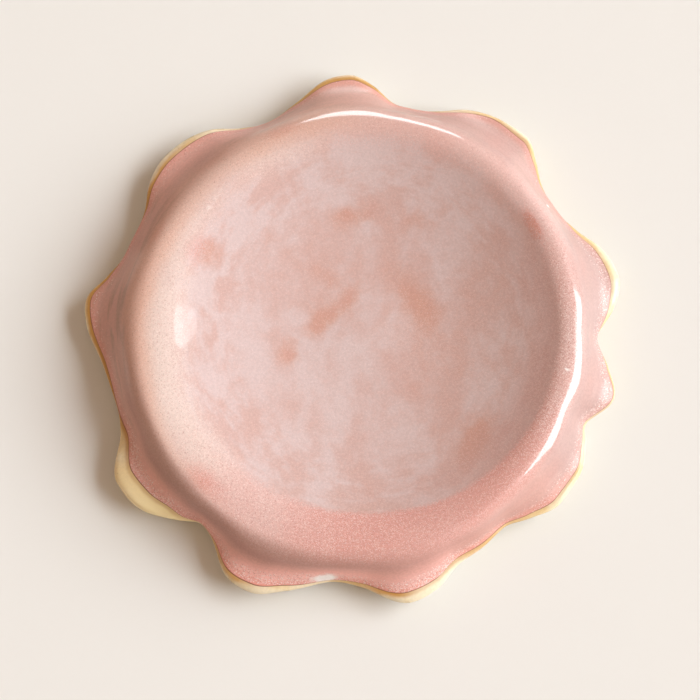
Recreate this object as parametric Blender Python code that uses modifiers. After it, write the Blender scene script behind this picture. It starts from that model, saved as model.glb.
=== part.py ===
# A hand-thrown stoneware serving plate: a dished well, a rolled ridge round it, and a skirt outside the ridge
# that is pulled into ten uneven lobes. Metres, +Z up, standing on the foot ring at z = 0, with the origin under
# the middle of the outline.
import math

import bmesh
import bpy
from mathutils import Vector

MM = 0.001

# Heights
FOOT_HEIGHT = 7.0 * MM  # table to the underside of the floor
FLOOR_THICKNESS = 6.5 * MM
WELL_DEPTH = 17.0 * MM  # middle of the well to the top of the ridge
LIP_CLEARANCE = 6.5 * MM  # table to the lowest point of the lip
LIP_ROUND = 4.0 * MM  # lowest point of the lip to its outermost point, and as far in
LOBE_LINE_RISE = 3.0 * MM  # outermost point of a lobe up to the line where the pink glaze stops
HOLLOW_LINE_RISE = 2.0 * MM  # the same in a hollow

# Plan
CREST_RADIUS = 105.0 * MM  # the top of the rolled ridge
CREST_CENTRE = Vector((1.5 * MM, 0.0, 0.0))  # from the point that the lobes are measured round
WELL_CENTRE = Vector((7.0 * MM, 4.0 * MM, 0.0))  # the wheel's axis: well, underside and foot turn round it
WELL_EDGE_RUN = 12.0 * MM  # the ridge's radius less that of the edge where the well is steepest
WELL_EDGE_SLOPE = math.radians(21)
FLAT_RUN = 80.0 * MM  # the well's edge back to its flat middle
FOOT_RUN = 50.0 * MM  # the ridge back to the outside of the foot ring
FOOT_WIDTH = 8.5 * MM
FOOT_TAPER = 1.5 * MM  # each side of the ring narrows by this towards the table
FOOT_ROUND = 1.2 * MM
COVE_MARGIN = 4.0 * MM  # flat underside left outside the foot ring before it turns up under the ridge

# Walls
LOBE_WALL = 8.0 * MM  # clay under the ridge behind a lobe
HOLLOW_WALL = 11.0 * MM  # the same behind a hollow, where the skirt folds back
LOBE_SLOPE = math.radians(5)  # fall of the skirt at the glaze line
HOLLOW_SLOPE = math.radians(66)

# Glaze
COAT = 0.6 * MM
COAT_GAP = 0.3 * MM  # between a coat, or the foot ring, and the clay it lies on
GLAZE_SEAM = 0.7 * MM  # between the pink and the yellow coat
BARE_BAND = 2.0 * MM  # clay wiped clean beside the foot ring

# Each lobe, anticlockwise from +X: points (degrees, millimetres that the finished lip reaches past the ridge)
# up to the hollow that follows, then the millimetres of lip left yellow at its tip and at that hollow.
LOBES = (
    (((7, 26.5), (13, 32), (20, 28.5), (26, 21), (33, 17.5)), 4.7, 0.8),
    (((40, 19.5), (45, 26), (50, 32), (58, 31), (64, 27.5), (70, 21), (76, 18.5)), 2.6, 0.8),
    (((81, 20), (86, 28), (91, 33), (96, 31), (103, 22), (112, 16)), 2.5, 0.8),
    (((118, 19), (125, 27), (135, 30), (142, 26.5), (148, 20), (156, 18)), 4.1, 0.8),
    (((161, 19), (166, 23.5), (172, 31), (177, 29), (186, 21), (197, 18)), 3.4, 1.7),
    (((203, 20.5), (212, 32.5), (219, 30.5), (226, 21), (231, 14.5)), 9.2, 0.8),
    (((236, 18), (242, 28.5), (248, 31), (255, 25), (266, 16.5)), 4.5, 0.8),
    (((272, 19), (282, 29), (288, 26), (294, 19), (301, 17), (308, 15)), 4.7, 1.8),
    (((314, 20), (321, 26), (328, 26), (335, 21.5), (339, 18)), 4.2, 1.0),
    (((347, 28), (353, 23), (360, 17)), 1.8, 0.8),
)
# Where the ridge was pressed out of round: (degrees, millimetres past its radius)
CREST_SWELL = (
    (0, -0.5), (40, 1.5), (90, 1.0), (135, -1.5), (170, 0.5),
    (200, 2.0), (240, 4.0), (270, 3.5), (300, 0.5), (330, -1.5),
)
STEEPEST = 3  # most that a curve through the points may rise, times the straight run beside it

# Finishes: colour and roughness
STONEWARE = ((0.62, 0.47, 0.33), 0.85)
PINK_GLAZE = ((0.70, 0.43, 0.36), 0.22)
YELLOW_GLAZE = ((0.88, 0.74, 0.40), 0.20)

# Mesh: turns round the plate, and rings along each span of the section, from the well's middle over the ridge
# and round the lip to the middle of the underside.
TURNS = 90
FLOOR, BOWL, SHOULDER, SKIRT, SEAM, LIP_TOP, LIP_BOTTOM, COVE_OUT, COVE_IN, BASE = range(10)
RINGS = {
    FLOOR: 1,
    BOWL: 4,
    SHOULDER: 2,
    SKIRT: 5,
    SEAM: 1,
    LIP_TOP: 3,
    LIP_BOTTOM: 2,
    COVE_OUT: 3,
    COVE_IN: 3,
    BASE: 1,
}
# Handles of each span's curve, as shares of the distance between its ends
STRAIGHT = (1 / 3, 1 / 3)
QUARTER_ROUND = (0.39, 0.39)
HANDLES = {
    FLOOR: STRAIGHT,
    BOWL: STRAIGHT,
    SHOULDER: STRAIGHT,
    SKIRT: (0.28, 0.42),
    SEAM: STRAIGHT,
    LIP_TOP: QUARTER_ROUND,
    LIP_BOTTOM: QUARTER_ROUND,
    COVE_OUT: (0.35, 0.30),
    COVE_IN: (0.35, 0.20),
    BASE: STRAIGHT,
}
WELD = 0.001 * MM

# Worked out from the sizes above
FLOOR_Z = FOOT_HEIGHT + FLOOR_THICKNESS
CREST_Z = FLOOR_Z + WELL_DEPTH
LIP_Z = LIP_CLEARANCE + LIP_ROUND
WELL_EDGE_RADIUS = CREST_RADIUS - WELL_EDGE_RUN
FLAT_RADIUS = WELL_EDGE_RADIUS - FLAT_RUN
FOOT_RADIUS = CREST_RADIUS - FOOT_RUN
FOOT_INNER_RADIUS = FOOT_RADIUS - FOOT_WIDTH
BASE_RADIUS = FOOT_RADIUS + COVE_MARGIN
SKIN = COAT_GAP + COAT
UP = Vector((0, 0, 1))
FULL_TURN = 2 * math.pi


def pull_knots():
    """How far the lip is pulled past the ridge: (degrees, metres) all the way round."""
    return [(angle, pull * MM) for points, _, _ in LOBES for angle, pull in points]


def lip_knots():
    """How much of the lip is left yellow: (degrees, metres) at each tip and each hollow."""
    knots = []
    for points, tip_lip, hollow_lip in LOBES:
        tip_angle, _ = max(points, key=lambda point: point[1])
        hollow_angle, _ = points[-1]
        knots += [(tip_angle, tip_lip * MM), (hollow_angle, hollow_lip * MM)]
    return knots


def wave(knots, degrees):
    """The value at an angle of a closed smooth curve through (degrees, value) knots, with no overshoot."""

    def knot(i):
        angle, value = knots[i % len(knots)]
        return angle + 360 * (i // len(knots)), value

    def rise(i):
        (a, value_a), (b, value_b) = knot(i), knot(i + 1)
        return (value_b - value_a) / (b - a)

    def slope(i):
        before, after = rise(i - 1), rise(i)
        if before * after <= 0:
            return 0
        steepest = STEEPEST * min(abs(before), abs(after))
        return math.copysign(min(abs(before + after) / 2, steepest), after)

    degrees %= 360
    i = max((k for k in range(len(knots)) if knots[k][0] <= degrees), default=-1)
    (a, value_a), (b, value_b) = knot(i), knot(i + 1)
    run = b - a
    t = (degrees - a) / run
    ease = t * t * (3 - 2 * t)
    bend = slope(i) * (1 - t) - slope(i + 1) * t
    return value_a + (value_b - value_a) * ease + bend * run * t * (1 - t)


def between(hollow, lobe, share):
    return hollow + (lobe - hollow) * share


def section(degrees):
    """The ends of the section's spans at an angle, each a point and the way the section runs there."""
    angle = math.radians(degrees)
    out = Vector((math.cos(angle), math.sin(angle), 0))
    pulls = pull_knots()
    pull = wave(pulls, degrees)
    least = min(value for _, value in pulls)
    most = max(value for _, value in pulls)
    share = (pull - least) / (most - least)
    slope = between(HOLLOW_SLOPE, LOBE_SLOPE, share)
    down_skirt = out * math.cos(slope) - UP * math.sin(slope)
    lip = out * (CREST_RADIUS + pull - SKIN) + UP * LIP_Z
    line_rise = between(HOLLOW_LINE_RISE, LOBE_LINE_RISE, share)
    line = lip - out * wave(lip_knots(), degrees) + UP * line_rise
    under_lip = lip - out * LIP_ROUND - UP * LIP_ROUND
    swell = wave(CREST_SWELL, degrees) * MM
    crest = CREST_CENTRE + out * (CREST_RADIUS + swell) + UP * CREST_Z
    well_edge = WELL_CENTRE + out * WELL_EDGE_RADIUS
    shoulder_run = (CREST_CENTRE - WELL_CENTRE).dot(out) + WELL_EDGE_RUN + swell
    well_edge += UP * (CREST_Z - shoulder_run * math.tan(WELL_EDGE_SLOPE) / 2)
    up_bowl = out * math.cos(WELL_EDGE_SLOPE) + UP * math.sin(WELL_EDGE_SLOPE)
    under_crest = crest - UP * between(HOLLOW_WALL, LOBE_WALL, share)
    return (
        (WELL_CENTRE + UP * FLOOR_Z, out),
        (WELL_CENTRE + out * FLAT_RADIUS + UP * FLOOR_Z, out),
        (well_edge, up_bowl),
        (crest, out),
        (line, down_skirt),
        (line + down_skirt * GLAZE_SEAM, down_skirt),
        (lip, -UP),
        (under_lip, -out),
        (under_crest, -out),
        (WELL_CENTRE + out * BASE_RADIUS + UP * FOOT_HEIGHT, -out),
        (WELL_CENTRE + UP * FOOT_HEIGHT, -out),
    )


def section_point(station, ends):
    """The point a share of the way along one span."""
    span, t = station
    (start, start_way), (end, end_way) = ends[span], ends[span + 1]
    chord = (end - start).length
    leave, arrive = HANDLES[span]
    near = start + start_way * chord * leave
    far = end - end_way * chord * arrive
    s = 1 - t
    return start * s**3 + near * (3 * s * s * t) + far * (3 * s * t * t) + end * t**3


def stations(first, last):
    """Ring places from the start of one span to the end of another."""
    places = [(first, 0.0)]
    for span in range(first, last + 1):
        places += [(span, ring / RINGS[span]) for ring in range(1, RINGS[span] + 1)]
    return places


def base_station(radius):
    return BASE, 1 - radius / BASE_RADIUS


def outline_middle():
    """The middle of the lip's outline, which goes over the origin."""
    lips = [section(360 * turn / TURNS)[LIP_BOTTOM][0] for turn in range(TURNS)]
    xs = [lip.x for lip in lips]
    ys = [lip.y for lip in lips]
    return Vector(((min(xs) + max(xs)) / 2, (min(ys) + max(ys)) / 2, 0))


def principled(name, colour, roughness):
    material = bpy.data.materials.new(name)
    material.use_nodes = True
    shader = material.node_tree.nodes["Principled BSDF"]
    shader.inputs["Base Color"].default_value = (*colour, 1)
    shader.inputs["Roughness"].default_value = roughness
    shader.inputs["Metallic"].default_value = 0
    return material


def add_piece(name, mesh, finish):
    mesh.shade_smooth()
    mesh.materials.append(principled(name + "_finish", *finish))
    piece = bpy.data.objects.new(name, mesh)
    piece.parent = origin
    plate.objects.link(piece)
    return piece


def turned_sheet(name, places):
    """A line spun into a disc of rings, each ring then drawn out to its place on the pulled section."""
    bm = bmesh.new()
    line = [bm.verts.new((ring + 1, 0, 0)) for ring in range(len(places))]
    for inner, outer in zip(line, line[1:]):
        bm.edges.new((inner, outer))
    flat = bm.verts[:] + bm.edges[:]
    bmesh.ops.spin(bm, geom=flat, axis=UP, angle=FULL_TURN, steps=TURNS, use_merge=True)
    sections = [section(360 * turn / TURNS) for turn in range(TURNS)]
    for vert in bm.verts:
        turn = round(TURNS * math.atan2(vert.co.y, vert.co.x) / FULL_TURN) % TURNS
        ring = round(vert.co.length) - 1
        vert.co = section_point(places[ring], sections[turn]) - middle
    bmesh.ops.remove_doubles(bm, verts=bm.verts, dist=WELD)
    mesh = bpy.data.meshes.new(name)
    bm.to_mesh(mesh)
    bm.free()
    return mesh


def add_coat(name, places, finish):
    """A skin of glaze over part of the clay, clear of it by the gap."""
    coat = add_piece(name, turned_sheet(name, places), finish)
    lift = coat.modifiers.new("lift", "DISPLACE")
    lift.strength = COAT_GAP
    lift.mid_level = 0
    thickness = coat.modifiers.new("thickness", "SOLIDIFY")
    thickness.thickness = COAT
    thickness.offset = 1


def add_foot_ring():
    """A coil of clay turned to a tapered ring, seated under the floor round the wheel's axis."""
    seat = FOOT_HEIGHT - COAT_GAP
    profile = (
        (FOOT_RADIUS, seat),
        (FOOT_RADIUS - FOOT_TAPER, 0),
        (FOOT_INNER_RADIUS + FOOT_TAPER, 0),
        (FOOT_INNER_RADIUS, seat),
    )
    bm = bmesh.new()
    corners = [bm.verts.new((radius, 0, z)) for radius, z in profile]
    for i, corner in enumerate(corners):
        bm.edges.new((corners[i - 1], corner))
    mesh = bpy.data.meshes.new("foot_ring")
    bm.to_mesh(mesh)
    bm.free()
    ring = add_piece("foot_ring", mesh, STONEWARE)
    ring.location = WELL_CENTRE - middle
    turn = ring.modifiers.new("turn", "SCREW")
    turn.axis = "Z"
    turn.angle = FULL_TURN
    turn.steps = TURNS
    turn.render_steps = TURNS
    turn.use_merge_vertices = True
    turn.merge_threshold = WELD
    rounding = ring.modifiers.new("rounding", "BEVEL")
    rounding.width = FOOT_ROUND
    rounding.segments = 2
    rounding.limit_method = "ANGLE"


for thing in list(bpy.data.objects):
    bpy.data.objects.remove(thing, do_unlink=True)

plate = bpy.data.collections.new("serving_plate")
bpy.context.scene.collection.children.link(plate)
origin = bpy.data.objects.new("serving_plate_origin", None)
plate.objects.link(origin)
middle = outline_middle()

add_piece("clay_body", turned_sheet("clay_body", stations(FLOOR, BASE)), STONEWARE)
add_foot_ring()
add_coat("pink_top_glaze", stations(FLOOR, SKIRT), PINK_GLAZE)
outside_foot = base_station(FOOT_RADIUS + BARE_BAND)
add_coat("yellow_edge_glaze", [*stations(LIP_TOP, COVE_IN), outside_foot], YELLOW_GLAZE)
inside_foot = base_station(FOOT_INNER_RADIUS - BARE_BAND)
add_coat("yellow_base_glaze", [inside_foot, (BASE, 1.0)], YELLOW_GLAZE)
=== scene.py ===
import math

import bmesh
import bpy
import numpy as np
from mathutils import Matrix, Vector, noise


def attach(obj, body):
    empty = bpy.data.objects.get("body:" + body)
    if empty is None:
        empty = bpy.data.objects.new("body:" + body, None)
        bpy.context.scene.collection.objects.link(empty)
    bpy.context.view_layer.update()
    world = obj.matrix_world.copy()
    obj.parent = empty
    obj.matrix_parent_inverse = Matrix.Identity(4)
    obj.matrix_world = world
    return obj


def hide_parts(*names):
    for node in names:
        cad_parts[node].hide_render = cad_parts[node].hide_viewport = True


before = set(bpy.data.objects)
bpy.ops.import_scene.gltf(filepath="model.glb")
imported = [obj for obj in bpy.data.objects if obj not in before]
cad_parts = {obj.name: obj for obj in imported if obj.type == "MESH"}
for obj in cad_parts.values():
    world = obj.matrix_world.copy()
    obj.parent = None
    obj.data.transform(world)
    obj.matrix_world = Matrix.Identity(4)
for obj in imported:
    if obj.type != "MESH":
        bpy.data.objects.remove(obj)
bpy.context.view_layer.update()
scene = bpy.context.scene
mm = 0.001
fullTurn = 2 * math.pi
tiny = 1e-9
print("frame loaded:", ", ".join(sorted(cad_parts)))

plateShape = {  # millimetres and degrees; a pair is (in a hollow, on a lobe)
    "footHeight": 7.0,
    "floorThickness": 6.5,
    "wellDepth": 17.0,  # middle of the well to the top of the ridge
    "lipClearance": 6.5,
    "lipRound": 4.0,
    "lineRise": (2.0, 3.0),  # outermost point of the lip up to the glaze line
    "crestRadius": 105.0,
    "crestCentre": (1.5, 0.0),
    "wellCentre": (7.0, 4.0),  # the wheel's axis
    "wellEdgeRun": 12.0,  # the ridge's radius less that of the well's steepest ring
    "wellEdgeSlope": 21.0,
    "flatRun": 80.0,
    "footRun": 50.0,
    "footWidth": 8.5,
    "footTaper": 1.5,
    "coveMargin": 4.0,
    "bareBand": 2.0,  # clay wiped clean beside the foot
    "wall": (11.0, 8.0),
    "fall": (66.0, 5.0),  # slope of the skirt at the glaze line
    "seam": 0.7,
    "skin": 0.9,  # clay to the outside of the glaze
    "seatGap": 0.3,
}
lobes = (  # (degrees, mm the lip reaches past the ridge), yellow lip at the tip and in the hollow after it
    (((7, 26.5), (13, 32), (20, 28.5), (26, 21), (33, 17.5)), 4.7, 0.8),
    (((40, 19.5), (45, 26), (50, 32), (58, 31), (64, 27.5), (70, 21), (76, 18.5)), 2.6, 0.8),
    (((81, 20), (86, 28), (91, 33), (96, 31), (103, 22), (112, 16)), 2.5, 0.8),
    (((118, 19), (125, 27), (135, 30), (142, 26.5), (148, 20), (156, 18)), 4.1, 0.8),
    (((161, 19), (166, 23.5), (172, 31), (177, 29), (186, 21), (197, 18)), 3.4, 1.7),
    (((203, 20.5), (212, 32.5), (219, 30.5), (226, 21), (231, 14.5)), 9.2, 0.8),
    (((236, 18), (242, 28.5), (248, 31), (255, 25), (266, 16.5)), 4.5, 0.8),
    (((272, 19), (282, 29), (288, 26), (294, 19), (301, 17), (308, 15)), 4.7, 1.8),
    (((314, 20), (321, 26), (328, 26), (335, 21.5), (339, 18)), 4.2, 1.0),
    (((347, 28), (353, 23), (360, 17)), 1.8, 0.8),
)
crestSwell = (  # where the ridge was pressed out of round: (degrees, mm past its radius)
    (0, -0.5), (40, 1.5), (90, 1.0), (135, -1.5), (170, 0.5),
    (200, 2.0), (240, 4.0), (270, 3.5), (300, 0.5), (330, -1.5),
)
lineDrop = (  # where the pink stops: (degrees, mm down past the line that the CAD coats meet at)
    (0, 1.9), (6, 0.8), (13, 0.5), (24, 0.4), (33, 2.2), (40, 1.2), (45, 0.6), (51, -0.4), (58, 0.8),
    (65, -0.5), (76, 1.6), (84, 0.5), (92, -0.3), (97, -0.4), (112, 1.6), (118, 0.4), (136, 0.6),
    (156, 2.2), (172, 1.2), (179, 1.0), (200, 2.3), (207, 1.0), (213, 0.6), (217, -0.9), (222, -2.4),
    (227, 0.3), (231, 1.8), (240, 1.4), (258, 1.4), (268, 0.4), (276, 1.5), (284, 0.2), (296, 1.6),
    (320, 1.8), (330, 0.6), (335, -0.5), (341, 0.9), (346, 1.5), (353, 0.9),
)
crestRoll = (  # how broadly the ridge rolls over into the skirt: (degrees, handle of the skirt's curve)
    (0, 0.37), (40, 0.35), (90, 0.34), (120, 0.33), (170, 0.35), (220, 0.35), (270, 0.32), (310, 0.32),
    (326, 0.31), (338, 0.28), (350, 0.34),
)
spans = ("floor", "bowl", "shoulder", "skirt", "seam", "lipTop", "lipBottom", "coveOut", "coveIn", "base")
handles = {  # of each span's curve, as shares of the distance between its ends
    "floor": (1 / 3, 1 / 3),
    "bowl": (1 / 3, 1 / 3),
    "shoulder": (1 / 3, 1 / 3),
    "skirt": (None, 0.42),  # leaves the ridge by crestRoll
    "seam": (1 / 3, 1 / 3),
    "lipTop": (0.39, 0.39),
    "lipBottom": (0.39, 0.39),
    "coveOut": (0.35, 0.30),
    "coveIn": (0.35, 0.20),
    "base": (1 / 3, 1 / 3),
}
steepest = 3  # most that a curve through the knots may rise, times the straight run beside it


def wave(knots, degrees):  # a closed smooth curve through (degrees, value) knots, with no overshoot
    count = len(knots)

    def knot(i):
        return knots[i % count][0] + 360 * (i // count), knots[i % count][1]

    def rise(i):
        (a, low), (b, high) = knot(i), knot(i + 1)
        return (high - low) / (b - a)

    def slope(i):
        before, after = rise(i - 1), rise(i)
        if before * after <= 0:
            return 0
        limit = steepest * min(abs(before), abs(after))
        return math.copysign(min(abs(before + after) / 2, limit), after)

    degrees %= 360
    i = max((k for k in range(count) if knots[k][0] <= degrees), default=-1)
    (a, low), (b, high) = knot(i), knot(i + 1)
    t = (degrees - a) / (b - a)
    ease = t * t * (3 - 2 * t)
    bend = slope(i) * (1 - t) - slope(i + 1) * t
    return low + (high - low) * ease + bend * (b - a) * t * (1 - t)


pullKnots = [knot for points, _, _ in lobes for knot in points]
lipKnots = []
for points, tipLip, hollowLip in lobes:
    tip = max(points, key=lambda point: point[1])
    lipKnots += [(tip[0], tipLip), (points[-1][0], hollowLip)]
pullRange = min(p for _, p in pullKnots), max(p for _, p in pullKnots)


def between(pair, share):
    return pair[0] + (pair[1] - pair[0]) * share


def smooth(low, high, value):  # 0 below low, 1 above high, eased between
    t = np.clip((value - low) / (high - low), 0, 1)
    return t * t * (3 - 2 * t)


def sectionEnds(degrees):  # the ends of the spans at an angle, and the way the section runs there
    s = plateShape
    angle = math.radians(degrees)
    out = np.array((math.cos(angle), math.sin(angle), 0.0))
    up = np.array((0.0, 0.0, 1.0))
    wellCentre = np.array((*s["wellCentre"], 0.0))
    crestCentre = np.array((*s["crestCentre"], 0.0))
    pull = wave(pullKnots, degrees)
    share = (pull - pullRange[0]) / (pullRange[1] - pullRange[0])
    fall = math.radians(between(s["fall"], share))
    downSkirt = out * math.cos(fall) - up * math.sin(fall)
    lip = out * (s["crestRadius"] + pull - s["skin"]) + up * (s["lipClearance"] + s["lipRound"])
    line = lip - out * wave(lipKnots, degrees) + up * between(s["lineRise"], share)
    underLip = lip - (out + up) * s["lipRound"]
    floorZ = s["footHeight"] + s["floorThickness"]
    swell = wave(crestSwell, degrees)
    crest = crestCentre + out * (s["crestRadius"] + swell) + up * (floorZ + s["wellDepth"])
    edgeRadius = s["crestRadius"] - s["wellEdgeRun"]
    edgeSlope = math.radians(s["wellEdgeSlope"])
    shoulderRun = np.dot(crestCentre - wellCentre, out) + s["wellEdgeRun"] + swell
    wellEdge = wellCentre + out * edgeRadius + up * (crest[2] - shoulderRun * math.tan(edgeSlope) / 2)
    upBowl = out * math.cos(edgeSlope) + up * math.sin(edgeSlope)
    underCrest = crest - up * between(s["wall"], share)
    flat = wellCentre + up * floorZ
    base = wellCentre + up * s["footHeight"]
    baseRadius = s["crestRadius"] - s["footRun"] + s["coveMargin"]
    places = (flat, flat + out * (edgeRadius - s["flatRun"]), wellEdge, crest, line,
              line + downSkirt * s["seam"], lip, underLip, underCrest, base + out * baseRadius, base)
    ways = (out, out, upBowl, out, downSkirt, downSkirt, -up, -out, -out, -out, -out)
    return places, ways


lipPoints = [sectionEnds(degrees)[0][6] for degrees in range(0, 360, 4)]
lowXY = np.min(lipPoints, axis=0)
highXY = np.max(lipPoints, axis=0)
middle = (lowXY + highXY) / 2 * (1, 1, 0)  # the CAD origin lies under the middle of the outline


def sectionLine(degrees, stations):  # the section's points at an angle, in millimetres
    places, ways = sectionEnds(degrees)
    roll = wave(crestRoll, degrees)
    line = []
    for span, t in stations:
        i = spans.index(span)
        start, end = places[i], places[i + 1]
        chord = np.linalg.norm(end - start)
        leave, arrive = handles[span]
        near = start + ways[i] * chord * (leave or roll)
        far = end - ways[i + 1] * chord * arrive
        s = 1 - t
        line.append(start * s**3 + near * 3 * s * s * t + far * 3 * s * t * t + end * t**3 - middle)
    return np.array(line)


def ringsIn(span, count, crowd=1.0, first=0):  # ring places; crowd > 1 gathers them at the far end
    return [(span, 1 - (1 - k / count) ** crowd) for k in range(first, count + 1)]


glazeSurface = {  # millimetres
    "turns": 400,
    "rings": {"floor": 4, "bowl": 40, "shoulder": 12, "skirt": 50,
              "lipTop": 12, "lipBottom": 8, "coveOut": 12, "coveIn": 12},
    "crowdAtLine": 1.6,
    "measurePoints": 61,  # along the skirt and lip, to find distances on them
    "thickness": 0.4,
    "leastLip": 0.6,  # of yellow left above the outermost point
    "edgeLift": 0.65,  # glaze left standing at the line where pink meets yellow
    "beadRun": 0.5,
    "beadHeight": 0.08,
    "beadPlace": 1.6,
    "beadWidth": 1.1,
    "tuckRun": 1.6,  # over which the yellow comes up to its full thickness
    "throwingPitch": 9.0,
    "throwingHeight": 0.014,
    "throwingBand": (50.0, 70.0, 88.0, 98.0),  # radii where the rings fade in and out
    "unevenScale": 38.0,
    "uneven": (0.08, 0.22),  # in the well, on the ridge and skirt
    "unevenSettle": 0.9,  # keeps the bumps below the thickness of the CAD coat
    "unevenFade": (-8.0, 4.0),  # past the glaze line, where the bumps die away
    "ridgeFade": 10.0,
    "reachTrim": 0.3,  # keeps the fine outline inside the faceted one
    "trimRun": 15.0,  # past the ridge, over which the trim comes in
}
poolRadius = 94.0  # where the well's glaze has run down off the ridge
glazeFields = {  # how the glaze, and the light and shade painted on it, change round the plate: (degrees, amount)
    "poolSoft": ((0, 1.5), (20, 3), (40, 7), (75, 8), (100, 7), (150, 9), (200, 7), (235, 3.5),
                 (270, 1.5), (330, 1.5)),
    "cream": ((0, 0), (60, 0.1), (95, 0.4), (115, 0.6), (135, 0.65), (155, 0.7), (180, 0.9), (200, 1),
              (215, 0.75), (235, 0.25), (250, 0.05), (280, 0)),
    "sugar": ((0, 1), (20, 0.7), (45, 0.3), (90, 0.3), (150, 0.4), (200, 0.4), (235, 0.65), (260, 0.65),
              (300, 0.5), (325, 0.7), (340, 1)),
    "red": ((0, 0.25), (20, 0.35), (45, 0.25), (70, 0.4), (95, 0.4), (120, 0.2), (200, 0), (240, 0.4),
            (270, 0.85), (310, 0.9), (335, 0.6)),
    # painted shade: how strongly the well's wall is darkened just inside the ridge
    "wallShade": ((0, 1), (25, 0.8), (45, 0.3), (70, 0.15), (100, 0), (260, 0), (300, 0.6), (330, 1)),
    # painted shade: how strongly the skirt is darkened in the valley below the ridge
    "valleyShade": ((0, 0), (60, 0.05), (100, 0.1), (150, 0.2), (175, 0.4), (195, 0.7), (225, 1),
               (240, 0.65), (262, 0.5), (285, 0.25), (310, 0)),
    # painted light: how strongly the lobe tips are lightened
    "tip": ((108, 0), (122, 0.45), (138, 0.5), (150, 0), (195, 0), (205, 0.3), (216, 0.8), (232, 0.4),
            (247, 1), (262, 1), (285, 0.5), (305, 0)),
    "dull": ((20, 0.05), (45, 0.25), (70, 0.3), (90, 0.25), (105, 0.4), (118, 0.55), (130, 0.1),
             (150, 0.6), (180, 0.9), (198, 0.8), (212, 0.1), (300, 0.05)),
    "apricot": ((0, 0), (85, 0.1), (100, 0.5), (115, 0.6), (130, 0.4), (155, 0.65), (180, 0.8),
                (205, 0.6), (230, 0.2), (250, 0.05)),
    "rose": ((0, 0.2), (13, 0.25), (30, 0.35), (50, 0.45), (90, 0.5), (110, 0.35), (135, 0.4),
             (172, 0.5), (200, 0.35), (216, 0.55), (230, 0.6), (245, 0.9), (285, 1), (305, 0.8),
             (320, 0.6), (335, 0.3), (347, 0.4)),
    "cool": ((5, 0.9), (20, 0.9), (35, 0.7), (55, 0.8), (75, 0.4), (120, 0.1), (170, 0), (205, 0.4),
             (215, 0.7), (235, 0.5), (255, 0.4), (300, 0.3), (320, 0.45), (335, 0.9)),
    "frost": ((0, 0.5), (13, 0.7), (22, 0.4), (30, 0.1), (90, 0.1), (130, 0.2), (172, 0.2), (195, 0.15),
              (216, 0.9), (232, 0.5), (247, 0.7), (262, 1), (272, 0.6), (285, 1), (300, 0.4),
              (322, 0.3), (335, 0.4), (346, 0.7)),
    "amber": ((13, 0.05), (25, 0.4), (50, 0.6), (65, 0.45), (92, 0.95), (112, 0.4), (124, 0.2),
              (140, 1), (155, 0.9), (174, 1), (198, 0.9), (208, 0.5), (216, 0.4), (223, 0.45),
              (230, 0.15), (238, 0.5), (244, 0.9), (250, 0.15), (260, 0.1), (268, 0.4), (279, 1),
              (285, 0.35), (300, 0.6), (319, 0.25), (330, 0.4), (350, 0.3)),
    # painted sheen: where the yellow lip is lightened on the lower-left lobe
    "lipSheen": ((208, 0), (216, 0.6), (222, 1), (230, 1), (236, 0)),
    "wet": ((150, 0), (166, 1), (190, 1), (204, 0)),
    "gloss": ((0, 1), (24, 1), (38, 0.4), (50, 0.5), (60, 1), (112, 1), (126, 0.1), (292, 0.1),
              (312, 1)),
}
blushSpots = (  # x, y, half length, half width in mm, turn in degrees, strength
    (-32, -13, 7, 6, 0, 1.3), (-15, 5, 17, 6, 35, 1.7), (-2, 17, 10, 5, 35, 0.7), (0, 58, 12, 6, 0, 1.4),
    (32, 14, 16, 7, -52, 1.6), (32, 55, 9, 6, 0, 1.1), (-70, 36, 10, 9, 0, 1.6), (-42, 47, 8, 6, 0, 0.7),
    (88.5, 49, 9, 3.6, 115, 1.8), (60, -55, 15, 6, 65, 1.9), (-15, 28, 14, 4, -38, 0.7),
    (6, 30, 8, 3, -55, 0.35), (17, 35, 6, 4, 0, 0.3), (40, -10, 16, 11, 0, 0.5), (5, -22, 9, 6, 0, 0.3),
    (30, -30, 9, 6, 0, 0.3), (60, -20, 9, 7, 0, 0.3), (88, -10, 14, 5, 100, 0.55), (75, 20, 25, 20, 0, 0.3),
    (-71, -79, 16, 7, -40, 0.7), (-97.5, 47, 8, 3.5, 60, 0.75), (-34, 99, 13, 3.5, 22, 0.75),
)
veilSpots = (  # where the well stays lilac
    (-60, 20, 32, 30, 0, 0.9), (-20, -30, 18, 12, 0, 0.6), (8, -8, 14, 9, 0, 0.6),
    (-60, 60, 25, 18, 45, 0.7), (-35, 58, 14, 10, 0, 0.5), (20, -50, 14, 9, 0, 0.5),
    (-70, -25, 30, 18, 90, 0.5),
)
glintAndScratchSpots = (  # painted white glints and a painted pale streak where light catches the glaze, and a scratch
    (-13.7, -122.2, 7, 1.8, 7, 1.2), (97.5, 61.5, 1.2, 1, 0, 1.2), (104, -23, 4.5, 0.8, -25, 0.9),
    (-69, 62, 13, 2.2, 52, 0.5),
)


def softSpots(plan, spots):
    total = np.zeros(plan.shape[:2])
    for x, y, length, width, turn, strength in spots:
        c, s = math.cos(math.radians(turn)), math.sin(math.radians(turn))
        dx, dy = plan[:, :, 0] - x, plan[:, :, 1] - y
        reach = ((dx * c + dy * s) / length) ** 2 + ((dy * c - dx * s) / width) ** 2
        total += strength * np.exp(-reach)
    return total


def stationAt(way):  # from the top of the ridge: 1 down the skirt, 2 past the seam, 3 round the lip
    i = min(int(way), 2)
    return ("skirt", "seam", "lipTop")[i], way - i


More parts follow.
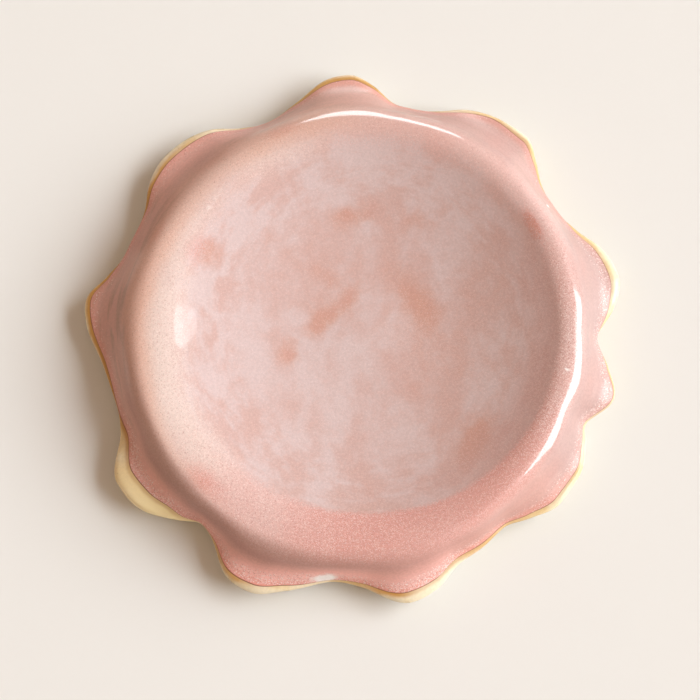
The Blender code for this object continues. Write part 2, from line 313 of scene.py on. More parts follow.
def glazeStations(degrees):
    g = glazeSurface
    rings = g["rings"]
    well = ringsIn("floor", rings["floor"]) + ringsIn("bowl", rings["bowl"], first=1)
    well += ringsIn("shoulder", rings["shoulder"], first=1)
    ways = np.linspace(0, 3, g["measurePoints"])
    points = sectionLine(degrees, [stationAt(way) for way in ways])
    run = np.append(0, np.cumsum(np.linalg.norm(np.diff(points, axis=0), axis=1)))
    lip = run[-1]
    stop = min(np.interp(1, ways, run) + wave(lineDrop, degrees), lip - g["leastLip"])
    left = 1 - np.arange(1, rings["skirt"] + 1) / rings["skirt"]
    pinkRuns = stop * (1 - left ** g["crowdAtLine"])
    passed = np.arange(1, rings["lipTop"] + 1) / rings["lipTop"]
    lipRuns = between((stop, lip), passed ** g["crowdAtLine"])
    pink = well + [stationAt(way) for way in np.interp(pinkRuns, run, ways)]
    yellow = [stationAt(way) for way in np.interp(lipRuns, run, ways)]
    for span in ("lipBottom", "coveOut", "coveIn"):
        yellow += ringsIn(span, rings[span], first=1)
    s = plateShape
    footRadius = s["crestRadius"] - s["footRun"]
    yellow += [("base", 1 - (footRadius + s["bareBand"]) / (footRadius + s["coveMargin"]))]
    return len(well), pink, yellow


def facingOut(surface):
    around = np.roll(surface, -1, axis=0) - np.roll(surface, 1, axis=0)
    along = np.gradient(surface, axis=1)
    out = np.cross(along, around)
    length = np.linalg.norm(out, axis=2, keepdims=True)
    return np.where(length > tiny, out / np.maximum(length, tiny), (0, 0, 1))


def glazeLift(clay, edgeRun, radius, spiral):  # how far the glaze stands off the clay
    g = glazeSurface
    rounded = np.sqrt(1 - (1 - np.clip(edgeRun / g["beadRun"], 0, 1)) ** 2)
    tucked = smooth(0, g["tuckRun"], -edgeRun)
    skin = plateShape["skin"]
    lift = g["edgeLift"] + (skin - g["edgeLift"]) * np.where(edgeRun > 0, rounded, tucked)
    bead = g["beadHeight"] * np.exp(-(((edgeRun - g["beadPlace"]) / g["beadWidth"]) ** 2))
    lift += np.where(edgeRun > 0, bead * rounded, 0)
    fadeIn, full, fading, gone = g["throwingBand"]
    thrown = smooth(fadeIn, full, radius) * (1 - smooth(fading, gone, radius))
    lift += g["throwingHeight"] * np.sin(fullTurn * radius / g["throwingPitch"] + spiral) * thrown
    onRidge = smooth(fading - g["ridgeFade"], gone, radius)
    onTop = smooth(*g["unevenFade"], edgeRun)
    for turn, ring in np.ndindex(lift.shape):
        bump = noise.noise(Vector(clay[turn, ring] / g["unevenScale"])) - g["unevenSettle"]
        lift[turn, ring] += bump * between(g["uneven"], onRidge[turn, ring]) * onTop[turn, ring]
    return lift


def sculptGlaze():
    g = glazeSurface
    angles = [360 * turn / g["turns"] for turn in range(g["turns"])]
    lines = []
    for angle in angles:
        wellRings, pink, yellow = glazeStations(angle)
        lines.append(sectionLine(angle, pink + yellow))
    clay = np.array(lines)
    steps = np.linalg.norm(np.diff(clay, axis=1), axis=2)
    run = np.concatenate((np.zeros((g["turns"], 1)), np.cumsum(steps, axis=1)), axis=1)
    edgeRun = run[:, [len(pink) - 1]] - run  # distance from the glaze line, positive on the pink
    plan = clay[:, :, :2] - (np.array(plateShape["wellCentre"]) - middle[:2])
    radius = np.linalg.norm(plan, axis=2)
    spiral = np.arctan2(plan[:, :, 1], plan[:, :, 0])
    sculpted = clay + facingOut(clay) * glazeLift(clay, edgeRun, radius, spiral)[:, :, None]
    reach = np.linalg.norm(clay[:, :, :2], axis=2, keepdims=True)
    ridge = plateShape["crestRadius"]
    trim = g["reachTrim"] * smooth(ridge, ridge + g["trimRun"], reach)
    sculpted[:, :, :2] *= 1 - trim / np.maximum(reach, 1)
    fields = {"edgeRun": edgeRun, "crestRun": run - run[:, [wellRings - 1]]}
    fields["blush"] = softSpots(clay, blushSpots)
    fields["veil"] = softSpots(clay, veilSpots)
    fields["glintAndScratch"] = softSpots(clay, glintAndScratchSpots)
    for key, knots in glazeFields.items():
        fields[key] = np.array([wave(knots, angle) for angle in angles])[:, None] + 0 * radius
    fields["wallRun"] = radius - poolRadius
    fields["poolRun"] = fields["wallRun"] / fields["poolSoft"]
    return sculpted, fields, len(pink)


mergeReach = 0.001  # mm; joins the pole of a disc


def spunSheet(name, places, values, facing):  # a spun disc of rings, each vertex drawn out to its place
    turns, rings = places.shape[:2]
    bm = bmesh.new()
    line = [bm.verts.new((ring + 1, 0, 0)) for ring in range(rings)]
    for inner, outer in zip(line, line[1:]):
        bm.edges.new((inner, outer))
    flat = bm.verts[:] + bm.edges[:]
    bmesh.ops.spin(bm, geom=flat, axis=(0, 0, 1), angle=fullTurn, steps=turns, use_merge=True)
    layers = {key: bm.verts.layers.float.new(key) for key in values}
    for vert in bm.verts:
        turn = round(turns * math.atan2(vert.co.y, vert.co.x) / fullTurn) % turns
        ring = round(vert.co.length) - 1
        vert.co = Vector(places[turn, ring]) * mm
        for key, layer in layers.items():
            vert[layer] = values[key][turn, ring]
    bmesh.ops.remove_doubles(bm, verts=bm.verts, dist=mergeReach * mm)
    bmesh.ops.recalc_face_normals(bm, faces=bm.faces)
    if sum(face.normal.z * face.calc_area() for face in bm.faces) * facing < 0:
        bmesh.ops.reverse_faces(bm, faces=bm.faces)
    return meshFrom(bm, name)


def meshFrom(bm, name):
    mesh = bpy.data.meshes.new(name)
    bm.to_mesh(mesh)
    bm.free()
    mesh.shade_smooth()
    return mesh


def addPiece(name, mesh, node, material):
    piece = bpy.data.objects.new(name, mesh)
    scene.collection.objects.link(piece)
    mesh.materials.append(material)
    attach(piece, "root")
    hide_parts(node)
    return piece


def thicken(piece, thickness):
    wall = piece.modifiers.new("thickness", "SOLIDIFY")
    wall.thickness = thickness * mm
    wall.offset = -1


# Node helpers
def plug(tree, socket, value):
    if isinstance(value, bpy.types.NodeSocket):
        tree.links.new(value, socket)
    else:
        socket.default_value = value


def addNode(tree, kind, sockets, **settings):
    made = tree.nodes.new("ShaderNode" + kind)
    for key, value in settings.items():
        setattr(made, key, value)
    for key, value in sockets.items():
        plug(tree, made.inputs[key], value)
    return made


def mathNode(tree, operation, a, b=0.0, c=0.0):
    return addNode(tree, "Math", {0: a, 1: b, 2: c}, operation=operation).outputs[0]


def product(tree, first, *others):
    for other in others:
        first = mathNode(tree, "MULTIPLY", first, other)
    return first


def ramp(tree, value, low, high, bottom=0.0, top=1.0):
    sockets = {"Value": value, "From Min": low, "From Max": high, "To Min": bottom, "To Max": top}
    return addNode(tree, "MapRange", sockets, interpolation_type="SMOOTHSTEP").outputs[0]


def band(tree, value, rise, full, fading, gone):  # 0 outside, 1 between full and fading
    return product(tree, ramp(tree, value, rise, full), ramp(tree, value, fading, gone, 1, 0))


def ragged(tree, value, cloud, amount):  # a value whose edges wander with a cloud
    return mathNode(tree, "ADD", value, mathNode(tree, "MULTIPLY_ADD", cloud, amount, -amount / 2))


def blend(tree, mask, a, b, how="MIX"):
    a = (*a, 1) if isinstance(a, tuple) else a
    b = (*b, 1) if isinstance(b, tuple) else b
    return addNode(tree, "Mix", {0: mask, 6: a, 7: b}, data_type="RGBA", blend_type=how).outputs[2]


def noiseAt(tree, place, scale, detail=2.0, distortion=0.0, roughness=0.5):
    sockets = {"Vector": place, "Scale": scale, "Detail": detail}
    sockets.update({"Distortion": distortion, "Roughness": roughness})
    return addNode(tree, "TexNoise", sockets).outputs[0]


def newMaterial(name, **constants):
    material = bpy.data.materials.new(name)
    material.use_nodes = True
    shader = material.node_tree.nodes["Principled BSDF"]
    for key, value in constants.items():
        shader.inputs[key].default_value = value
    place = addNode(material.node_tree, "TexCoord", {}).outputs["Object"]
    return material, material.node_tree, shader, place


def attribute(tree, name):
    return addNode(tree, "Attribute", {}, attribute_name=name).outputs["Fac"]


def newGroup(name, inputs, outputs):
    group = bpy.data.node_groups.new(name, "ShaderNodeTree")
    for label, kind in inputs.items():
        group.interface.new_socket(label, in_out="INPUT", socket_type="NodeSocket" + kind)
    for label, kind in outputs.items():
        group.interface.new_socket(label, in_out="OUTPUT", socket_type="NodeSocket" + kind)
    given = group.nodes.new("NodeGroupInput").outputs
    result = group.nodes.new("NodeGroupOutput").inputs
    return group, given, result


def useGroup(tree, group, **sockets):
    return addNode(tree, "Group", sockets, node_tree=group).outputs


def makeSugarGrain():  # crystals that the glaze has grown, pale and dark, each in its own cell
    inputs = {"Place": "Vector", "PerMetre": "Float", "Share": "Float"}
    outputs = {"Pale": "Float", "Dark": "Float", "Tone": "Float"}
    group, given, result = newGroup("sugarGrain", inputs, outputs)
    cells = addNode(group, "TexVoronoi", {"Vector": given["Place"], "Scale": given["PerMetre"]}).outputs
    dot = ramp(group, cells["Distance"], 0.25, 0.65, 1, 0)
    draw = addNode(group, "SeparateColor", {"Color": cells["Color"]}).outputs
    for i, label in enumerate(("Pale", "Dark")):
        chosen = ramp(group, mathNode(group, "SUBTRACT", given["Share"], draw[i]), 0, 0.15)
        plug(group, result[label], product(group, dot, chosen))
    plug(group, result["Tone"], draw[2])
    return group


def makeIronSpecks():  # sparse dark dots burnt through from the clay
    inputs = {"Place": "Vector", "PerMetre": "Float", "Share": "Float"}
    group, given, result = newGroup("ironSpecks", inputs, {"Mask": "Float"})
    cells = addNode(group, "TexVoronoi", {"Vector": given["Place"], "Scale": given["PerMetre"]}).outputs
    draw = addNode(group, "SeparateColor", {"Color": cells["Color"]}).outputs
    chosen = ramp(group, mathNode(group, "SUBTRACT", given["Share"], draw[0]), 0, 0.05)
    plug(group, result["Mask"], product(group, ramp(group, cells["Distance"], 0.12, 0.3, 1, 0), chosen))
    return group


def makeGlazePeel():  # the slow swell and fine pitting of a fired glaze
    group, given, result = newGroup("glazePeel", {"Place": "Vector", "Fine": "Float"}, {"Height": "Float"})
    swell = noiseAt(group, given["Place"], 110, 1)
    pits = ramp(group, noiseAt(group, given["Place"], 700, 1), 0.25, 0.4)
    plug(group, result["Height"], mathNode(group, "MULTIPLY_ADD", pits, given["Fine"], swell))
    return group


def makeLemonClouds():  # the yellow glaze, thick and creamy in places
    inputs = {"Place": "Vector", "Lemon": "Color", "Cream": "Color"}
    group, given, result = newGroup("lemonClouds", inputs, {"Colour": "Color", "Roughness": "Float"})
    cloud = noiseAt(group, given["Place"], 45, 3)
    fine = noiseAt(group, given["Place"], 800, 2)
    colour = blend(group, ramp(group, cloud, 0.4, 0.6), given["Lemon"], given["Cream"])
    colour = blend(group, 1.0, colour, ramp(group, fine, 0.3, 0.7, 0.95, 1.03), "MULTIPLY")
    plug(group, result["Colour"], colour)
    plug(group, result["Roughness"], ramp(group, cloud, 0.3, 0.7, 0.22, 0.32))
    return group


sugarGrain = makeSugarGrain()
ironSpecks = makeIronSpecks()
glazePeel = makeGlazePeel()
lemonClouds = makeLemonClouds()

pinkGlaze = {  # linear colours
    "mauve": (0.61, 0.405, 0.37),
    "lilac": (0.655, 0.51, 0.50),
    "salmon": (0.60, 0.335, 0.27),
    # painted shade laid on the well's wall just inside the ridge
    "wallShade": (0.56, 0.335, 0.30),
    "ridgePink": (0.705, 0.46, 0.42),
    "ridgeRose": (0.69, 0.355, 0.31),
    "ember": (0.63, 0.25, 0.19),
    "cream": (0.745, 0.595, 0.54),
    "apricot": (0.74, 0.42, 0.31),
    "skirt": (0.67, 0.415, 0.36),
    "skirtRose": (0.61, 0.32, 0.275),
    "skirtCool": (0.53, 0.37, 0.345),
    "skirtTan": (0.47, 0.30, 0.23),
    "skirtShade": (0.47, 0.275, 0.24),
    # painted light on the lobe tips
    "litTipPink": (0.96, 0.52, 0.465),
    "lineRose": (0.80, 0.32, 0.25),
    "frost": (0.80, 0.64, 0.61),
    # white for the painted glints and the scratch
    "glintAndScratch": (0.94, 0.88, 0.86),
    "paleGrain": (0.93, 0.79, 0.76),
    "redGrain": (0.50, 0.17, 0.14),
    "line": (0.30, 0.10, 0.06),
    "iron": (0.42, 0.26, 0.20),
    "grainsPerMetre": 2700.0,
    "frostPerMetre": 1900.0,
    "specksPerMetre": 900.0,
    "cloudScale": 30.0,
    "strokeScale": 48.0,
    "fleckScale": 210.0,
    "fineScale": 900.0,
    "fineShade": (0.95, 1.04),
    "strokeTurn": math.radians(-50),  # the way the glaze was brushed
    "strokeStretch": (1, 0.6, 1),
    "skirtStreak": (4.6, 4.0),  # mm across a streak, and how often it breaks round the plate
    "wallStreak": (6.0, 5.0),
    "peel": 0.00005,
    "pits": 0.15,
    "roughness": (0.32, 0.48),
    "satin": 0.3,  # added roughness where the glaze is dry
    "dryCoat": 0.08,
    "skirtCoat": 0.1,
    "gloss": {"Specular IOR Level": 0.25, "Coat Roughness": 0.06, "Coat IOR": 1.5},
}
lipKeys = ("edgeRun", "amber", "lipSheen")
pinkKeys = ["edgeRun", "crestRun", "wallRun", "poolRun", "blush", "veil", "glintAndScratch"]
pinkKeys += [key for key in glazeFields if key not in (*lipKeys, "poolSoft")]


def roundStreaks(tree, place, run, size):  # streaks of glaze that follow the ridge
    way = addNode(tree, "VectorMath", {0: place, 1: (1, 1, 0)}, operation="MULTIPLY").outputs[0]
    way = addNode(tree, "VectorMath", {0: way}, operation="NORMALIZE").outputs[0]
    way = addNode(tree, "VectorMath", {0: way, "Scale": size[1]}, operation="SCALE").outputs[0]
    across = addNode(tree, "CombineXYZ", {2: product(tree, run, 1 / size[0])}).outputs[0]
    return noiseAt(tree, addNode(tree, "VectorMath", {0: way, 1: across}).outputs[0], 1, 4, 0.4, 0.6)


def pinkWell(tree, field, cloud, stroke, fleck, grain, place):
    g = pinkGlaze
    warmth = mathNode(tree, "MULTIPLY_ADD", field["veil"], -0.5, field["blush"])
    tone = product(tree, warmth, 0.6)
    for mottle, warmer, darker in ((cloud, 0.8, 2.2), (stroke, 2.0, 3.6), (fleck, 1.0, 1.5)):
        warmth = ragged(tree, warmth, mottle, warmer)
        tone = ragged(tree, tone, mottle, darker)
    brushed = roundStreaks(tree, place, field["wallRun"], g["wallStreak"])
    brushed = mathNode(tree, "MULTIPLY_ADD", brushed, 5.0, -2.5)
    tone = mathNode(tree, "MULTIPLY_ADD", brushed, ramp(tree, field["wallRun"], -40, -14), tone)
    colour = blend(tree, ramp(tree, tone, -0.9, 0.9), g["lilac"], g["mauve"])
    colour = blend(tree, ramp(tree, warmth, 0.15, 1.7), colour, g["salmon"])
    # painted shade: the wall darkened just inside the ridge, strongest on the right
    wall = ramp(tree, ragged(tree, field["wallRun"], cloud, 16.0), -26, -4)
    colour = blend(tree, product(tree, wall, field["wallShade"], 0.75), colour, g["wallShade"])
    colour = blend(tree, product(tree, grain["Dark"], 0.3), colour, g["salmon"])
    return blend(tree, product(tree, grain["Pale"], 0.28), colour, g["paleGrain"])


def pinkRidge(tree, field, cloud, grain, place):
    g = pinkGlaze
    rosy = ramp(tree, ragged(tree, field["red"], cloud, 0.9), 0.15, 0.95)
    colour = blend(tree, rosy, g["ridgePink"], g["ridgeRose"])
    creamy = ramp(tree, ragged(tree, field["cream"], cloud, 0.7), 0.15, 0.95)
    colour = blend(tree, creamy, colour, g["cream"])
    blushing = ramp(tree, ragged(tree, field["blush"], cloud, 0.8), 0.1, 0.9)
    colour = blend(tree, blushing, colour, g["ridgeRose"])
    burning = ramp(tree, ragged(tree, field["blush"], cloud, 0.5), 0.6, 1.1)
    colour = blend(tree, burning, colour, g["ember"])
    border = band(tree, ragged(tree, field["crestRun"], cloud, 12.0), -9, 2, 14, 24)
    colour = blend(tree, product(tree, border, field["apricot"]), colour, g["apricot"])
    specks = useGroup(tree, ironSpecks, Place=place, PerMetre=g["specksPerMetre"],
                      Share=product(tree, creamy, 0.4))
    colour = blend(tree, product(tree, specks["Mask"], 0.7), colour, g["iron"])
    speckled = mathNode(tree, "MULTIPLY_ADD", field["sugar"], 0.5, 0.4)
    colour = blend(tree, product(tree, grain["Dark"], speckled), colour, g["redGrain"])
    sugary = mathNode(tree, "MULTIPLY_ADD", field["sugar"], 0.7, 0.3)
    return blend(tree, product(tree, grain["Pale"], sugary), colour, g["paleGrain"])


def pinkSkirt(tree, field, cloud, place):
    g = pinkGlaze
    streak = roundStreaks(tree, place, field["crestRun"], g["skirtStreak"])
    cool = ramp(tree, ragged(tree, field["cool"], cloud, 1.2), 0.1, 0.9)
    colour = blend(tree, cool, g["skirt"], g["skirtCool"])
    rosy = ramp(tree, ragged(tree, field["rose"], cloud, 0.8), 0.15, 1.0)
    colour = blend(tree, rosy, colour, g["skirtRose"])
    border = ramp(tree, ragged(tree, field["crestRun"], cloud, 9.0), 8, 20, 1, 0)
    colour = blend(tree, product(tree, border, field["apricot"]), colour, g["apricot"])
    tan = product(tree, ramp(tree, streak, 0.46, 0.66), field["dull"])
    colour = blend(tree, tan, colour, g["skirtTan"])
    colour = blend(tree, ramp(tree, streak, 0.32, 0.46, 0.08, 0), colour, g["frost"])
    # painted shade: the skirt darkened in the valley below the ridge
    valleyShade = band(tree, ragged(tree, field["crestRun"], cloud, 6.0), 0, 5, 12, 20)
    colour = blend(tree, product(tree, valleyShade, field["valleyShade"], 0.9), colour, g["skirtShade"])
    # painted light: lobe tips lightened where their flared tops catch the lamp
    tip = product(tree, ramp(tree, field["edgeRun"], 5, 18, 1, 0), field["tip"])
    colour = blend(tree, tip, colour, g["litTipPink"])
    nearLine = ramp(tree, ragged(tree, field["edgeRun"], cloud, 3.0), 1.0, 6.0, 1, 0)
    colour = blend(tree, product(tree, nearLine, field["rose"], 0.9), colour, g["lineRose"])
    frosty = band(tree, ragged(tree, field["edgeRun"], cloud, 6.0), 0.0, 0.8, 2.5, 10)
    frosty = product(tree, frosty, field["frost"])
    share = mathNode(tree, "MULTIPLY_ADD", frosty, 0.6, 0.04)
    crystals = useGroup(tree, sugarGrain, Place=place, PerMetre=g["frostPerMetre"], Share=share)
    colour = blend(tree, product(tree, frosty, 0.22), colour, g["frost"])
    colour = blend(tree, product(tree, crystals["Dark"], 0.6), colour, g["redGrain"])
    return blend(tree, product(tree, crystals["Pale"], 0.95), colour, g["paleGrain"])


def pinkGlazeMaterial():
    g = pinkGlaze
    material, tree, shader, place = newMaterial("pinkReactiveGlaze", **g["gloss"])
    field = {key: attribute(tree, key) for key in pinkKeys}
    cloud = noiseAt(tree, place, g["cloudScale"], 4, 0.6)
    turned = addNode(tree, "Mapping", {"Vector": place, "Rotation": (0, 0, g["strokeTurn"]),
                                       "Scale": g["strokeStretch"]})
    stroke = noiseAt(tree, turned.outputs[0], g["strokeScale"], 3, 0.8, 0.5)
    fleck = noiseAt(tree, place, g["fleckScale"], 3, 0.4)
    fine = noiseAt(tree, place, g["fineScale"], 2)
    share = mathNode(tree, "MULTIPLY_ADD", field["sugar"], 0.4, 0.1)
    grain = useGroup(tree, sugarGrain, Place=place, PerMetre=g["grainsPerMetre"], Share=share)
    colour = pinkWell(tree, field, cloud, stroke, fleck, grain, place)
    edge = ragged(tree, ragged(tree, field["poolRun"], cloud, 2.0), grain["Tone"], 1.2)
    ridge = pinkRidge(tree, field, cloud, grain, place)
    colour = blend(tree, ramp(tree, edge, -1.0, 1.0), colour, ridge)
    skirt = pinkSkirt(tree, field, cloud, place)
    outside = ramp(tree, ragged(tree, field["crestRun"], cloud, 8.0), 2, 12)
    colour = blend(tree, outside, colour, skirt)
    # painted shade: the ridge's outer shoulder darkened above the shaded valley
    shoulder = band(tree, ragged(tree, field["crestRun"], cloud, 5.0), -2, 3, 6, 12)
    colour = blend(tree, product(tree, shoulder, field["valleyShade"], 0.6), colour, g["skirtShade"])
    # painted glints and streak in white, and a pale scratch
    glintAndScratch = ramp(tree, ragged(tree, field["glintAndScratch"], fleck, 1.0), 0.3, 0.9)
    colour = blend(tree, glintAndScratch, colour, g["glintAndScratch"])
    thin = ramp(tree, ragged(tree, field["edgeRun"], fleck, 0.3), 0.2, 0.5, 1, 0)
    strong = mathNode(tree, "MULTIPLY_ADD", field["rose"], 0.3, 0.65)
    colour = blend(tree, product(tree, thin, strong), colour, g["line"])
    colour = blend(tree, 1.0, colour, ramp(tree, fine, 0.3, 0.7, *g["fineShade"]), "MULTIPLY")
    plug(tree, shader.inputs["Base Color"], colour)
    wetWall = product(tree, ramp(tree, field["wallRun"], -24, -10), field["wet"])
    wetRidge = product(tree, ramp(tree, field["wallRun"], -4, 8), field["gloss"])
    wet = mathNode(tree, "MAXIMUM", wetWall, wetRidge)
    rough = ramp(tree, cloud, 0.3, 0.7, *g["roughness"])
    satin = ramp(tree, wet, 0, 1, g["satin"], 0)
    plug(tree, shader.inputs["Roughness"], mathNode(tree, "ADD", rough, satin))
    sheltered = product(tree, ramp(tree, field["crestRun"], 1, 6), field["valleyShade"])
    coat = ramp(tree, field["crestRun"], 9, 15, 1, g["skirtCoat"])
    coat = product(tree, coat, mathNode(tree, "SUBTRACT", 1.0, sheltered))
    coat = product(tree, coat, ramp(tree, wet, 0, 1, g["dryCoat"], 1))
    plug(tree, shader.inputs["Coat Weight"], coat)
    peel = useGroup(tree, glazePeel, Place=place, Fine=g["pits"])["Height"]
    bump = addNode(tree, "Bump", {"Strength": 1.0, "Distance": g["peel"], "Height": peel})
    plug(tree, shader.inputs["Normal"], bump.outputs[0])
    return material


yellowGlaze = {
    "lemon": (0.87, 0.69, 0.39),
    "cream": (0.90, 0.80, 0.59),
    # painted sheen on the yellow lip
    "sheenYellow": (0.98, 0.84, 0.49),
    "amber": (0.58, 0.31, 0.09),
    "iron": (0.30, 0.16, 0.07),
    "specksPerMetre": 520.0,
    "speckShare": 0.05,
    "speckStrength": 0.4,
    "amberScale": 130.0,
    "lineStrength": 0.7,
    "peel": 0.00008,
    "pits": 0.3,
    "gloss": {"Specular IOR Level": 0.3},
}


def yellowGlazeMaterial(name, hasLine):
    g = yellowGlaze
    material, tree, shader, place = newMaterial(name, **g["gloss"])
    clouds = useGroup(tree, lemonClouds, Place=place, Lemon=(*g["lemon"], 1), Cream=(*g["cream"], 1))
    colour = clouds["Colour"]
    specks = useGroup(tree, ironSpecks, Place=place, PerMetre=g["specksPerMetre"], Share=g["speckShare"])
    colour = blend(tree, product(tree, specks["Mask"], g["speckStrength"]), colour, g["iron"])
    if hasLine:
        edge = attribute(tree, "edgeRun")
        # painted sheen: the yellow lip lightened on the lower-left lobe
        colour = blend(tree, attribute(tree, "lipSheen"), colour, g["sheenYellow"])
        cloud = noiseAt(tree, place, g["amberScale"], 3)
        amber = ramp(tree, ragged(tree, edge, cloud, 2.0), -3.0, -0.8)
        colour = blend(tree, product(tree, amber, attribute(tree, "amber")), colour, g["amber"])
        line = ramp(tree, edge, -0.25, -0.05, 0, g["lineStrength"])
        colour = blend(tree, line, colour, pinkGlaze["line"])
    plug(tree, shader.inputs["Base Color"], colour)
    plug(tree, shader.inputs["Roughness"], clouds["Roughness"])
    peel = useGroup(tree, glazePeel, Place=place, Fine=g["pits"])["Height"]
    bump = addNode(tree, "Bump", {"Strength": 1.0, "Distance": g["peel"], "Height": peel})
    plug(tree, shader.inputs["Normal"], bump.outputs[0])
    return material


bareClay = {
    "buff": (0.62, 0.47, 0.33),
    "toast": (0.50, 0.34, 0.22),
    "iron": (0.16, 0.08, 0.05),
    "toastScale": 70.0,
    "specksPerMetre": 420.0,
    "speckShare": 0.6,
    "roughScale": 300.0,
    "roughness": (0.75, 0.95),
    "gritScale": 900.0,
    "grit": 0.0003,
    "gritStrength": 0.4,
}


def bareClayMaterial():
    g = bareClay
    material, tree, shader, place = newMaterial("bareStoneware")
    toasted = ramp(tree, noiseAt(tree, place, g["toastScale"], 4), 0.35, 0.7)
    colour = blend(tree, toasted, g["buff"], g["toast"])
    specks = useGroup(tree, ironSpecks, Place=place, PerMetre=g["specksPerMetre"], Share=g["speckShare"])
    colour = blend(tree, specks["Mask"], colour, g["iron"])
    plug(tree, shader.inputs["Base Color"], colour)
    rough = noiseAt(tree, place, g["roughScale"], 2)
    plug(tree, shader.inputs["Roughness"], ramp(tree, rough, 0.3, 0.7, *g["roughness"]))
    grit = noiseAt(tree, place, g["gritScale"], 3)
    bump = addNode(tree, "Bump", {"Strength": g["gritStrength"], "Distance": g["grit"], "Height": grit})
    plug(tree, shader.inputs["Normal"], bump.outputs[0])
    return material


pinkMaterial = pinkGlazeMaterial()
lipMaterial = yellowGlazeMaterial("yellowLipGlaze", True)
baseMaterial = yellowGlazeMaterial("yellowBaseGlaze", False)
clayMaterial = bareClayMaterial()
print("glazes mixed")

# Glazes on the clay
sculpted, fields, pinkRings = sculptGlaze()
pinkFields = {key: fields[key][:, :pinkRings] for key in pinkKeys}
pinkSheet = spunSheet("pinkTopGlaze", sculpted[:, :pinkRings], pinkFields, 1)
pinkTop = addPiece("pinkTopGlaze", pinkSheet, "pink_top_glaze", pinkMaterial)
thicken(pinkTop, glazeSurface["thickness"])
lipFields = {key: fields[key][:, pinkRings - 1:] for key in lipKeys}
lipSheet = spunSheet("yellowLipGlaze", sculpted[:, pinkRings - 1:], lipFields, -1)
yellowLip = addPiece("yellowLipGlaze", lipSheet, "yellow_edge_glaze", lipMaterial)
thicken(yellowLip, glazeSurface["thickness"])
print("glaze laid over the plate")

clayBody = {
    "turns": 180,
    "rings": {"floor": 4, "bowl": 20, "shoulder": 6, "skirt": 14, "seam": 1,
              "lipTop": 6, "lipBottom": 6, "coveOut": 10, "coveIn": 10, "base": 8},
}


def addClayBody():
    stations = [("floor", 0.0)]
    for span in spans:
        stations += ringsIn(span, clayBody["rings"][span], first=1)
    turns = clayBody["turns"]
    places = np.array([sectionLine(360 * turn / turns, stations) for turn in range(turns)])
    addPiece("clayBody", spunSheet("clayBody", places, {}, 1), "clay_body", clayMaterial)


addClayBody()

yellowBase = {  # millimetres
    "turns": 240,
    "rings": 60,
    "thickness": 0.3,
    "trimPitch": 4.2,  # the spiral that the trimming tool left
    "trimHeight": 0.07,
    "trimStart": 6.0,
    "edgeRound": 1.5,
    "edgeDrop": 0.35,
}


def addYellowBase():
    s = plateShape
    g = yellowBase
    radius = s["crestRadius"] - s["footRun"] - s["footWidth"] - s["bareBand"]
    centre = np.array((*s["wellCentre"], 0.0)) - middle
    lift = s["footHeight"] - s["skin"]
    places = np.zeros((g["turns"], g["rings"], 3))
    for turn in range(g["turns"]):
        angle = fullTurn * turn / g["turns"]
        for ring in range(g["rings"]):
            r = radius * ring / (g["rings"] - 1)
            rounded = math.sqrt(max(0, 1 - max(0, 1 - (radius - r) / g["edgeRound"]) ** 2))
            trimmed = g["trimHeight"] * math.sin(fullTurn * r / g["trimPitch"] + angle)
            trimmed *= min(1, r / g["trimStart"])
            z = lift + trimmed * rounded + (1 - rounded) * g["edgeDrop"]
            places[turn, ring] = centre + np.array((r * math.cos(angle), r * math.sin(angle), z))
    sheet = spunSheet("yellowBaseGlaze", places, {}, -1)
    disc = addPiece("yellowBaseGlaze", sheet, "yellow_base_glaze", baseMaterial)
    thicken(disc, g["thickness"])


addYellowBase()

footRing = {  # millimetres
    "turns": 240,
    "round": 1.2,
    "roundSteps": 5,
    "lowest": 0.1,  # edges below this lie on the table
    "sameRadius": 0.01,  # edges that stray less than this go round the ring
}


def addFootRing():
    s = plateShape
    g = footRing
    outer = s["crestRadius"] - s["footRun"]
    inner = outer - s["footWidth"]
    seat = s["footHeight"] - s["seatGap"]
    profile = ((outer, seat), (outer - s["footTaper"], 0), (inner + s["footTaper"], 0), (inner, seat))
    bm = bmesh.new()
    corners = [bm.verts.new((radius * mm, 0, z * mm)) for radius, z in profile]
    for i, corner in enumerate(corners):
        bm.edges.new((corners[i - 1], corner))
    section = bm.verts[:] + bm.edges[:]
    bmesh.ops.spin(bm, geom=section, axis=(0, 0, 1), angle=fullTurn, steps=g["turns"], use_merge=True)
    bmesh.ops.recalc_face_normals(bm, faces=bm.faces)
    low = [e for e in bm.edges if max(v.co.z for v in e.verts) < g["lowest"] * mm]
    radii = [[v.co.xy.length for v in e.verts] for e in low]
    rims = [e for e, (a, b) in zip(low, radii) if abs(a - b) < g["sameRadius"] * mm]
    bmesh.ops.bevel(bm, geom=rims, offset=g["round"] * mm, segments=g["roundSteps"],
                    profile=0.5, material=-1, affect="EDGES")
    centre = Vector((*plateShape["wellCentre"], 0)) - Vector(middle)
    bmesh.ops.translate(bm, verts=bm.verts, vec=centre * mm)
    addPiece("footRing", meshFrom(bm, "footRing"), "foot_ring", clayMaterial)


addFootRing()
print("clay, base glaze and foot ring made")

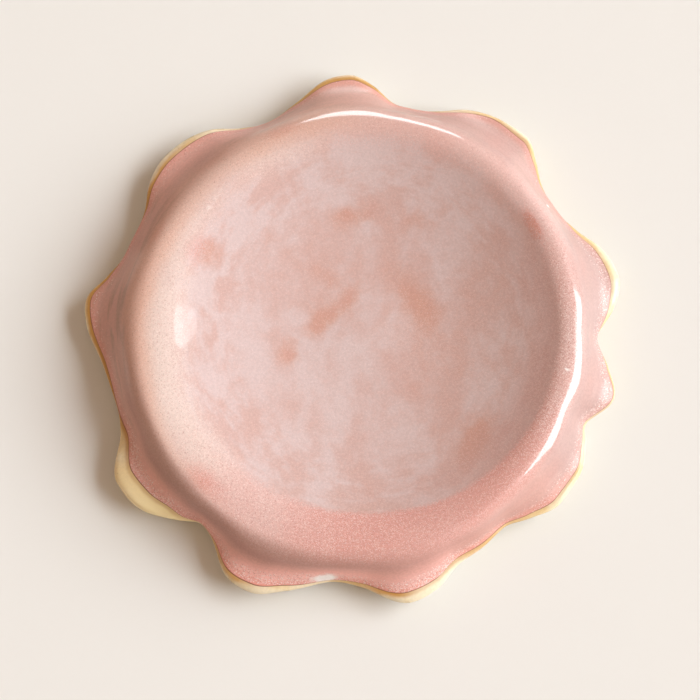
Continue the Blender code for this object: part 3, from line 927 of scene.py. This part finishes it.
studio = {  # metres; the camera in millimetres
    "floorColour": (0.83, 0.83, 0.81),
    "floorRoughness": 0.9,
    "floorSpecular": 0.1,
    "floorReach": 9.0,
    "floorZ": -0.0001,
    "fill": (0.415, 0.295, 0.215),
    "lampColour": (0.92, 0.97, 1.0),
    "lampDistance": 14.0,
    "lampAim": (0, 0, 0.015),
    "aim": (-1.45, -9.0, 10.0),
    "azimuth": -90.0,
    "elevation": 79.0,
    "distance": 950.0,
    "frameWidth": 349.0,
    "sensorWidth": 36.0,
}
lamps = {  # shape, azimuth, elevation, size, watts, and whether it lights or only shows in the glaze
    "keySoftbox": ("RECTANGLE", 5.0, 33.0, (14.0, 8.9), 3150.0, True),
    "streakReflector": ("RECTANGLE", -2.0, 30.0, (10.6, 9.5), 3500.0, False),
    "backReflector": ("ELLIPSE", 86.0, 21.0, (8.6, 7.0), 1485.0, False),
    "sparkReflector": ("ELLIPSE", 17.0, 53.0, (1.8, 2.4), 44.0, False),
    "hazeReflector": ("ELLIPSE", 17.0, 57.0, (2.2, 3.6), 5.0, False),
    "glintReflector": ("ELLIPSE", -16.0, 60.0, (4.0, 1.6), 26.0, False),
}


def pointAt(thing, place, aim):
    thing.location = place
    thing.rotation_euler = (aim - place).to_track_quat("-Z", "Y").to_euler()


def towards(azimuth, elevation):
    a, e = math.radians(azimuth), math.radians(elevation)
    return Vector((math.cos(a) * math.cos(e), math.sin(a) * math.cos(e), math.sin(e)))


def addLamp(name, shape, azimuth, elevation, size, watts, lights):
    lamp = bpy.data.lights.new(name, "AREA")
    lamp.shape = shape
    lamp.size, lamp.size_y = size
    lamp.energy = watts
    lamp.color = studio["lampColour"]
    holder = bpy.data.objects.new(name, lamp)
    scene.collection.objects.link(holder)
    aim = Vector(studio["lampAim"])
    pointAt(holder, aim + towards(azimuth, elevation) * studio["lampDistance"], aim)
    holder.visible_diffuse = lights
    holder.visible_glossy = not lights


for lampName, lampSettings in lamps.items():
    addLamp(lampName, *lampSettings)

world = bpy.data.worlds.new("studioFill")
scene.world = world
world.use_nodes = True
world.node_tree.nodes["Background"].inputs["Color"].default_value = (*studio["fill"], 1)

bm = bmesh.new()
bmesh.ops.create_grid(bm, x_segments=1, y_segments=1, size=studio["floorReach"])
floor = bpy.data.objects.new("paleFloor", meshFrom(bm, "paleFloor"))
scene.collection.objects.link(floor)
floorMaterial, _, floorShader, _ = newMaterial("paleFloor")
floorShader.inputs["Roughness"].default_value = studio["floorRoughness"]
floorShader.inputs["Specular IOR Level"].default_value = studio["floorSpecular"]
floorShader.inputs["Base Color"].default_value = (*studio["floorColour"], 1)
floor.data.materials.append(floorMaterial)
floor.location.z = studio["floorZ"]

lens = bpy.data.cameras.new("camera")
lens.sensor_width = studio["sensorWidth"]
lens.lens = studio["sensorWidth"] * studio["distance"] / studio["frameWidth"]
camera = bpy.data.objects.new("camera", lens)
scene.collection.objects.link(camera)
aim = Vector(studio["aim"]) * mm
view = towards(studio["azimuth"], studio["elevation"])
pointAt(camera, aim + view * studio["distance"] * mm, aim)
scene.camera = camera
scene.view_settings.view_transform = "Standard"
print("lamps, floor and camera set")
